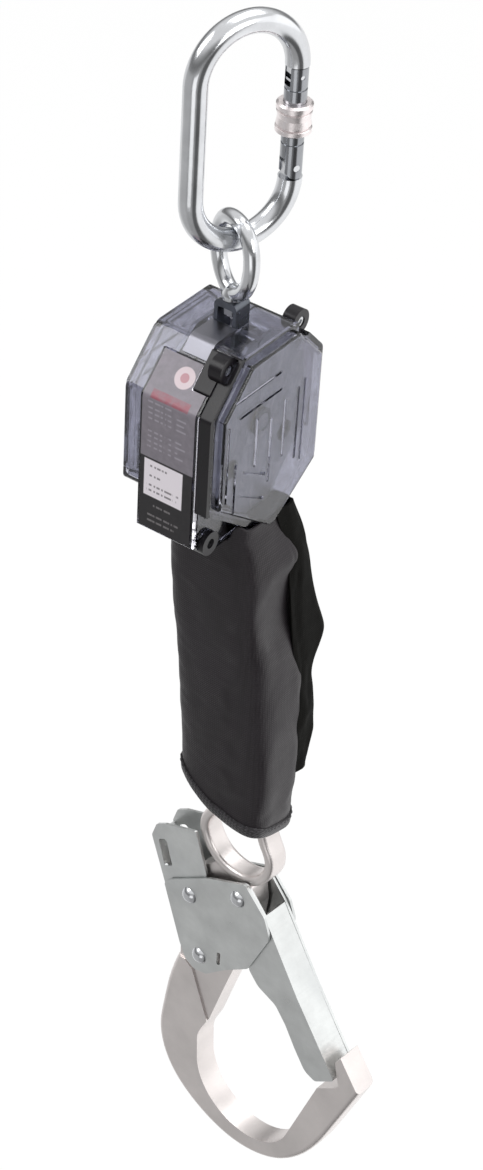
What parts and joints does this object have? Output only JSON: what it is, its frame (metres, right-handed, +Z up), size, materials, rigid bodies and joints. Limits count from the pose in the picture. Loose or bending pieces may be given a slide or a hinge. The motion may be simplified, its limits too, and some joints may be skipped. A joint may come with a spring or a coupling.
{
  "type": "self retracting lifeline",
  "caption": "Compact fall-arrest block: clear case with a spring-wound webbing drum, swivel eye with screw-lock carabiner above, covered shock absorber and large double-action hook below.",
  "frame": {"origin": "anchor point inside the top bow of the carabiner, on the swivel axis", "axes": "X along the drum axis, -Y out through the label face, +Z up along the swivel towards the carabiner"},
  "size_m": [0.146, 0.0865, 0.6575],
  "materials": {
    "zinc": "bright zinc",
    "zinc_satin": "satin zinc",
    "steel": "satin",
    "steel_dark": "dark blued",
    "clear_smoke": "smoked clear polycarbonate",
    "black_plastic": "satin",
    "black_gloss": "gloss",
    "label": "printed",
    "aluminium_forged": "satin bead blasted",
    "aluminium": "satin",
    "webbing_black": "woven",
    "webbing_grey": "woven",
    "nylon_black": "coated nylon",
    "thread": "stitching",
    "brass": "satin"
  },
  "bodies": {
    "carabiner": {"carabiner_body": "zinc", "carabiner_hinge_pin": "zinc"},
    "carabiner_gate": {"carabiner_gate": "zinc", "carabiner_latch_pin": "zinc", "carabiner_gate_spring": "steel"},
    "lock_sleeve": {"lock_sleeve": "zinc_satin"},
    "eye": {"swivel_eye": "zinc", "swivel_nut": "steel"},
    "case": {"swivel_yoke": "steel_dark", "load_pin": "steel", "left_shell": "clear_smoke", "right_shell": "clear_smoke", "corner_bosses": "black_gloss", "housing_screws": "zinc", "corner_trim": "black_gloss", "label_panel": "clear_smoke", "label_sheet": "label", "rear_panel": "clear_smoke", "left_frame_plate": "steel", "right_frame_plate": "steel", "frame_spacers": "zinc", "shaft_bushings": "brass", "ratchet_ring": "steel_dark", "power_spring": "steel_dark", "spring_cup": "black_plastic", "roller_pins": "steel", "exit_nozzle": "black_plastic", "guard_strap": "steel_dark", "webbing_feed": "webbing_grey"},
    "drum": {"drum": "aluminium", "drum_shaft": "steel", "webbing_coil": "webbing_grey", "shaft_circlip": "steel_dark", "pawl_pins": "steel", "pawl_springs": "steel", "spring_arbor": "steel"},
    "pawl_a": {"pawl_a": "steel_dark"},
    "pawl_b": {"pawl_b": "steel_dark"},
    "roller_front": {"guide_roller_front": "steel"},
    "roller_rear": {"guide_roller_rear": "steel"},
    "line": {"webbing_line": "webbing_grey", "pouch_cover": "nylon_black", "pouch_flap": "nylon_black", "absorber_pack": "webbing_black", "absorber_bartacks": "thread", "hook_loop": "webbing_black", "wear_sleeve": "nylon_black"},
    "hook": {"hook_body": "aluminium_forged", "side_plate_near": "zinc_satin", "side_plate_far": "zinc_satin", "lever_rivet": "zinc", "gate_rivet": "zinc", "plate_rivet": "zinc"},
    "hook_gate": {"hook_gate": "zinc_satin"},
    "hook_lever": {"hook_lever": "zinc_satin"}
  },
  "joints": [
    {"name": "carabiner_gate_hinge", "type": "hinge", "parent": "carabiner", "child": "carabiner_gate", "pos_m": [0.00959, 0.02314, -0.065], "axis": [-0.9239, 0.3827, 0], "range_deg": [-25, 0], "stiffness_Nm_per_rad": 0.02},
    {"name": "lock_sleeve_slide", "type": "slide", "parent": "carabiner_gate", "child": "lock_sleeve", "axis": [0, 0, 1], "range_m": [0, 0.0125]},
    {"name": "eye_swing", "type": "hinge", "parent": "carabiner", "child": "eye", "pos_m": [0, 0, -0.09423], "axis": [0.3827, 0.9239, 0], "range_deg": [-40, 40]},
    {"name": "case_swivel", "type": "hinge", "parent": "eye", "child": "case", "pos_m": [0, 0, -0.123], "axis": [0, 0, 1], "continuous": true},
    {"name": "line_payout", "type": "slide", "parent": "case", "child": "line", "axis": [0, 0, -1], "range_m": [0, 1.5], "deforming": ["webbing_line"]},
    {"name": "drum_spin", "type": "hinge", "parent": "case", "child": "drum", "pos_m": [0, 0, -0.1785], "axis": [1, 0, 0], "range_deg": [0, 4140.01]},
    {"name": "pawl_a_swing", "type": "hinge", "parent": "drum", "child": "pawl_a", "pos_m": [0.013, 0.0185, -0.1785], "axis": [1, 0, 0], "range_deg": [0, 24.5]},
    {"name": "pawl_b_swing", "type": "hinge", "parent": "drum", "child": "pawl_b", "pos_m": [0.013, -0.0185, -0.1785], "axis": [1, 0, 0], "range_deg": [0, 24.5]},
    {"name": "roller_front_spin", "type": "hinge", "parent": "case", "child": "roller_front", "pos_m": [0, -0.00425, -0.2215], "axis": [1, 0, 0], "continuous": true},
    {"name": "roller_rear_spin", "type": "hinge", "parent": "case", "child": "roller_rear", "pos_m": [0, 0.00425, -0.2215], "axis": [1, 0, 0], "continuous": true},
    {"name": "hook_swing", "type": "hinge", "parent": "line", "child": "hook", "pos_m": [0.01707, 0.01088, -0.40838], "axis": [0.9934, -0.1149, 0], "range_deg": [-20, 20]},
    {"name": "hook_gate_hinge", "type": "hinge", "parent": "hook", "child": "hook_gate", "pos_m": [0.02452, 0.01002, -0.46638], "axis": [-0.1149, -0.9934, 0], "range_deg": [-25, 0], "stiffness_Nm_per_rad": 0.03},
    {"name": "hook_lever_hinge", "type": "hinge", "parent": "hook", "child": "hook_lever", "pos_m": [-0.00747, 0.01372, -0.48638], "axis": [-0.1149, -0.9934, 0], "range_deg": [-12, 0], "stiffness_Nm_per_rad": 0.03}
  ],
  "couplings": [
    {"joint": "drum_spin", "follows": "line_payout", "rad_per_m": 48.171}
  ]
}
